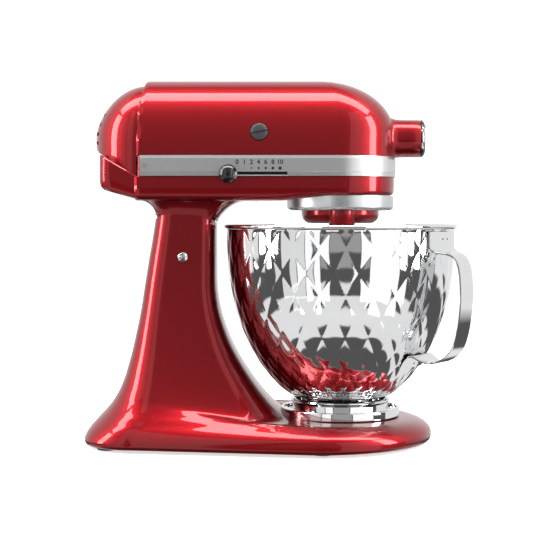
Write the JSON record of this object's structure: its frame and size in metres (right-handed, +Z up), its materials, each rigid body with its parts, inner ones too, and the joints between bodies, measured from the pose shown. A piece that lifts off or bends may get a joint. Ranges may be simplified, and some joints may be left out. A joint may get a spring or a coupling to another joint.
{
  "type": "stand mixer",
  "caption": "Tilt-head stand mixer with a quilted steel bowl, planetary beater drive, attachment hub and internal motor and gears.",
  "frame": {"origin": "centre of the footprint of the bounding box, on the surface that the feet stand on", "axes": "+X to the front of the mixer (attachment hub), +Z up, bowl axis vertical in the plane y = 0"},
  "size_m": [0.3682, 0.228, 0.352],
  "materials": {
    "red_paint": "high-gloss metallic candy red enamel on die-cast metal",
    "polished_steel": "mirror-polished stainless steel",
    "satin_silver": "satin silver",
    "machined_steel": "machined steel",
    "black_plastic": "gloss black",
    "grey_plastic": "dark grey moulded",
    "rubber": "matt black rubber",
    "brass": "turned brass",
    "cast_alloy": "cast and burnished aluminium",
    "copper": "enamelled copper windings",
    "carbon": "graphite"
  },
  "bodies": {
    "base": {"stand": "red_paint", "base_plate": "grey_plastic", "foot_1": "rubber", "foot_2": "rubber", "foot_3": "rubber", "foot_4": "rubber", "foot_5": "rubber", "clamp_plate": "machined_steel", "clamp_screw_1": "machined_steel", "clamp_screw_2": "machined_steel", "clamp_screw_3": "machined_steel", "hinge_pin": "polished_steel"},
    "bowl_body": {"bowl": "polished_steel", "bowl_foot": "polished_steel", "bowl_handle": "polished_steel"},
    "lock_lever_body": {"lock_lever": "black_plastic"},
    "lock_pin_body": {"lock_pin": "machined_steel"},
    "head": {"head_upper": "red_paint", "rear_cover": "red_paint", "head_lower": "red_paint", "trim_band": "satin_silver", "band_screw": "machined_steel", "hub_bearing": "brass", "hub_rim": "grey_plastic", "hub_cover_pin": "machined_steel", "stator": "machined_steel", "field_coil_rear": "copper", "field_coil_front": "copper", "motor_bearing_rear": "machined_steel", "motor_bearing_front": "machined_steel", "bearing_bracket_rear": "cast_alloy", "bearing_bracket_front": "cast_alloy", "brush_holder_left": "brass", "brush_holder_right": "brass", "carbon_brush_left": "carbon", "carbon_brush_right": "carbon", "brush_cap_left": "grey_plastic", "brush_cap_right": "grey_plastic", "worm_bracket": "cast_alloy", "centre_bearing": "machined_steel", "gear_floor": "cast_alloy", "ring_gear": "machined_steel", "drip_ring": "satin_silver", "cord_gland": "rubber"},
    "speed_control": {"speed_knob": "black_plastic", "speed_link": "machined_steel"},
    "hub_drive": {"hub_shaft": "machined_steel"},
    "hub_cover_body": {"hub_cover": "polished_steel"},
    "attachment_knob_body": {"attachment_knob": "black_plastic"},
    "motor_rotor": {"armature": "machined_steel", "cooling_fan": "grey_plastic", "governor": "brass"},
    "worm_wheel_body": {"worm_wheel": "brass"},
    "carrier": {"planetary": "red_paint", "planetary_pin": "machined_steel", "centre_shaft": "machined_steel", "centre_gear": "machined_steel"},
    "beater_body": {"beater_shaft": "machined_steel", "flat_beater": "cast_alloy"}
  },
  "joints": [
    {"name": "head_tilt", "type": "hinge", "parent": "base", "child": "head", "pos_m": [-0.09006, 0, 0.181], "axis": [0, -1, 0], "range_deg": [0, 45]},
    {"name": "bowl_twist", "type": "hinge", "parent": "base", "child": "bowl_body", "pos_m": [0.06194, 0, 0.03], "axis": [0, 0, 1], "range_deg": [0, 38]},
    {"name": "lock_lever_turn", "type": "hinge", "parent": "base", "child": "lock_lever_body", "pos_m": [-0.07556, 0.04, 0.18776], "axis": [0, -1, 0], "range_deg": [0, 40]},
    {"name": "lock_pin_slide", "type": "slide", "parent": "base", "child": "lock_pin_body", "axis": [0, -1, 0], "range_m": [0, 0.0081]},
    {"name": "speed_slide", "type": "slide", "parent": "head", "child": "speed_control", "axis": [1, 0, 0], "range_m": [0, 0.042]},
    {"name": "hub_cover_hinge", "type": "hinge", "parent": "head", "child": "hub_cover_body", "pos_m": [0.14324, 0, 0.3065], "axis": [0, -1, 0], "range_deg": [0, 110]},
    {"name": "attachment_knob_turn", "type": "hinge", "parent": "head", "child": "attachment_knob_body", "pos_m": [0.12794, 0.02, 0.296], "axis": [0, 1, 0], "range_deg": [0, 360]},
    {"name": "planetary_spin", "type": "hinge", "parent": "head", "child": "carrier", "pos_m": [0.06194, 0, 0.23], "axis": [0, 0, 1], "continuous": true},
    {"name": "beater_spin", "type": "hinge", "parent": "carrier", "child": "beater_body", "pos_m": [0.06194, -0.032, 0.23], "axis": [0, 0, 1], "continuous": true},
    {"name": "worm_wheel_spin", "type": "hinge", "parent": "head", "child": "worm_wheel_body", "pos_m": [0.02393, 0.0259, 0.28], "axis": [0, 0, 1], "continuous": true},
    {"name": "hub_spin", "type": "hinge", "parent": "head", "child": "hub_drive", "pos_m": [0.10194, 0, 0.296], "axis": [1, 0, 0], "continuous": true},
    {"name": "motor_spin", "type": "hinge", "parent": "head", "child": "motor_rotor", "pos_m": [-0.05806, 0, 0.2995], "axis": [1, 0, 0], "continuous": true}
  ],
  "couplings": [
    {"joint": "lock_pin_slide", "follows": "lock_lever_turn", "m_per_rad": 0.011459},
    {"joint": "beater_spin", "follows": "planetary_spin", "ratio": -3.6667},
    {"joint": "worm_wheel_spin", "follows": "planetary_spin", "ratio": -4.75},
    {"joint": "hub_spin", "follows": "planetary_spin", "ratio": 2},
    {"joint": "motor_spin", "follows": "planetary_spin", "ratio": 80.75}
  ]
}
